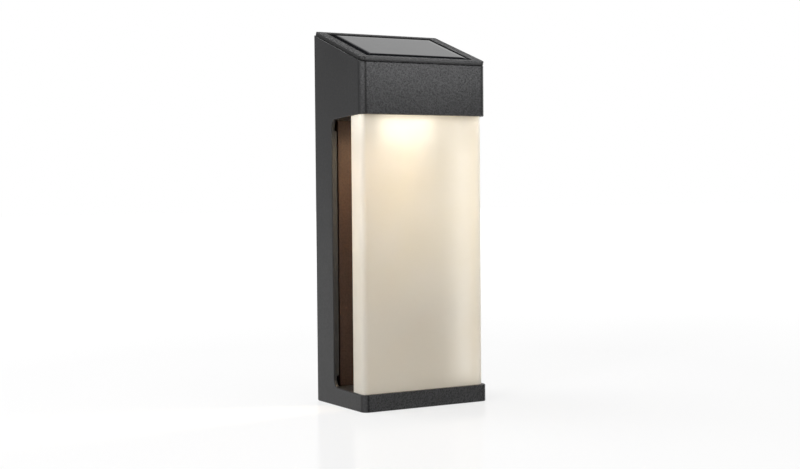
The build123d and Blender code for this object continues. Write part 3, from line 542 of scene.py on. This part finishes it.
def chip_lamp(name, place, breadth, turn, lean, spread, power, colour):
    """Strip lamp below the window, facing down. It turns forward and leans left, in degrees."""
    bpy.ops.object.light_add(type="AREA", location=place)
    lamp = bpy.context.object
    lamp.name = name
    lamp.data.shape = "RECTANGLE"
    lamp.data.size = strip_length
    lamp.data.size_y = breadth
    lamp.data.spread = math.radians(spread)
    lamp.data.energy = power
    lamp.data.color = colour
    lamp.visible_camera = False
    lamp.rotation_euler = (math.radians(-turn), math.radians(lean), 0.0)


bpy.ops.object.select_all(action="DESELECT")
beam_place = (window_middle.x, window_middle.y, window_low.z - beam_drop)
chip_lamp(
    "chip_beam",
    beam_place,
    beam_breadth,
    turn=0.0,
    lean=40.0,
    spread=100.0,
    power=0.07,
    colour=beam_colour,
)
haze_steps = (("high", 0.006, 0.0016), ("middle", 0.019, 0.0024), ("low", 0.036, 0.0013))
for step, height, power in haze_steps:
    haze_place = (window_middle.x, window_high.y, window_low.z - height / 2)
    chip_lamp(
        "chip_haze_" + step,
        haze_place,
        height,
        turn=88.0,
        lean=0.0,
        spread=180.0,
        power=power,
        colour=haze_colour,
    )

# Stage floor: a wide white board with a faint polish, for the object's shadow and reflection.
# It is white where it is seen or mirrored, and grey as a source of light.
bpy.ops.mesh.primitive_plane_add(size=12.0, location=(0.0, 0.0, cad_low.z))
floor = bpy.context.object
floor.name = "stage_floor"
floor_finish = bpy.data.materials.new("stage_white")
floor_finish.use_nodes = True
floor_tree = floor_finish.node_tree
floor_tree.nodes.clear()


def seen_straight(tree):
    """1 for rays from the camera or through glass, and 0 for others."""
    path = tree.nodes.new("ShaderNodeLightPath")
    return sums(tree, "MAXIMUM", path.outputs["Is Camera Ray"], path.outputs["Is Transmission Ray"])


def mirrored(tree):
    """1 for rays off gloss, and 0 for others."""
    return tree.nodes.new("ShaderNodeLightPath").outputs["Is Glossy Ray"]


floor_grey = (0.3, 0.3, 0.3, 1.0)
polish_share = 0.12
near = 0.3
far = 1.6
near_white = 0.76
floor_matt = add(floor_tree, "ShaderNodeBsdfDiffuse", {"Color": floor_grey})
floor_place = {0: place_of(floor_tree)}
from_object = add(floor_tree, "ShaderNodeVectorMath", floor_place, operation="LENGTH")
floor_white = between(floor_tree, from_object.outputs["Value"], near, far, near_white, 1.0)
floor_seen = sums(floor_tree, "MAXIMUM", seen_straight(floor_tree), mirrored(floor_tree))
floor_lift = sums(floor_tree, "MULTIPLY", floor_seen, floor_white)
floor_glow = add(floor_tree, "ShaderNodeEmission", {"Strength": floor_lift})
floor_layers = {0: floor_matt.outputs[0], 1: floor_glow.outputs[0]}
floor_base = add(floor_tree, "ShaderNodeAddShader", floor_layers)
floor_polish = add(floor_tree, "ShaderNodeBsdfGlossy", {"Roughness": 0.12})
floor_coats = {0: polish_share, 1: floor_base.outputs[0], 2: floor_polish.outputs[0]}
floor_mix = add(floor_tree, "ShaderNodeMixShader", floor_coats)
add(floor_tree, "ShaderNodeOutputMaterial", {"Surface": floor_mix.outputs[0]})
floor.data.materials.append(floor_finish)

# Studio: a white room that lights the object evenly, and four soft boxes for its shape.
# Gloss mirrors a room that is darker in front, at the left and overhead, which keeps it deep.
# The small box at the brow lights the top of the head's front.
world = bpy.data.worlds.new("stage_world")
bpy.context.scene.world = world
world.use_nodes = True
world_tree = world.node_tree
room_light = 0.64
around = world_tree.nodes.new("ShaderNodeTexCoord").outputs["Generated"]
toward = add(world_tree, "ShaderNodeSeparateXYZ", {"Vector": around})
backdrop = between(world_tree, toward.outputs["Y"], -0.5, 0.5, 0.35, 0.8)
wings = between(world_tree, toward.outputs["X"], -0.6, 0.2, 0.4, 1.0)
ceiling = between(world_tree, toward.outputs["Z"], 0.472, 0.545, 1.0, 0.02)
walls = sums(world_tree, "MULTIPLY", backdrop, wings)
room = sums(world_tree, "MULTIPLY", walls, ceiling)
in_gloss = between(world_tree, mirrored(world_tree), 0.0, 1.0, room_light, room)
room_level = sums(world_tree, "MAXIMUM", seen_straight(world_tree), in_gloss)
white_room = {"Color": (1.0, 1.0, 1.0, 1.0), "Strength": room_level}
fill(world_tree, world_tree.nodes["Background"], white_room)


def soft_lamp(name, place, aim, width, height, power):
    """Soft box that faces a point."""
    bpy.ops.object.light_add(type="AREA", location=place)
    lamp = bpy.context.object
    lamp.name = name
    lamp.data.shape = "RECTANGLE"
    lamp.data.size = width
    lamp.data.size_y = height
    lamp.data.energy = power
    lamp.visible_camera = False
    lamp.rotation_euler = (Vector(aim) - Vector(place)).to_track_quat("-Z", "Y").to_euler()


body_middle = (0.0, -0.03, 0.0)
roof_middle = (0.0, -0.03, 0.1)
brow = (0.0, 0.0, 0.092)
soft_lamp("lamp_left", (-1.2, -0.64, 0.35), body_middle, width=0.2, height=0.6, power=4.0)
soft_lamp("lamp_front", (0.6, -1.2, 0.2), body_middle, width=0.5, height=0.5, power=0.8)
soft_lamp("lamp_over", (-0.3, 0.4, 0.9), roof_middle, width=0.5, height=0.5, power=3.0)
soft_lamp("lamp_brow", (0.0, -0.085, 0.096), brow, width=0.12, height=0.02, power=0.019)

# Camera: at the photograph's place, a little above the middle of the light and to its left.
# It yaws right from straight back, pitches up and rolls anticlockwise by these radians.
camera_data = bpy.data.cameras.new("camera")
camera = bpy.data.objects.new("camera", camera_data)
bpy.context.scene.collection.objects.link(camera)
bpy.context.scene.camera = camera
camera_data.sensor_width = 36.0
camera_data.lens = 62.904
camera_place = (-0.44912, -0.79868, 0.020542)
camera_yaw = 0.5284
camera_pitch = -0.0348
camera_roll = -0.0085
level_forward = Vector((math.sin(camera_yaw), math.cos(camera_yaw), 0.0))
forward = math.cos(camera_pitch) * level_forward + Vector((0.0, 0.0, math.sin(camera_pitch)))
level_right = Vector((math.cos(camera_yaw), -math.sin(camera_yaw), 0.0))
level_up = level_right.cross(forward)
right = math.cos(camera_roll) * level_right + math.sin(camera_roll) * level_up
up = math.cos(camera_roll) * level_up - math.sin(camera_roll) * level_right
turned = Matrix((right, up, -forward)).transposed().to_4x4()
camera.matrix_world = Matrix.Translation(camera_place) @ turned
bpy.context.scene.view_settings.view_transform = "Standard"
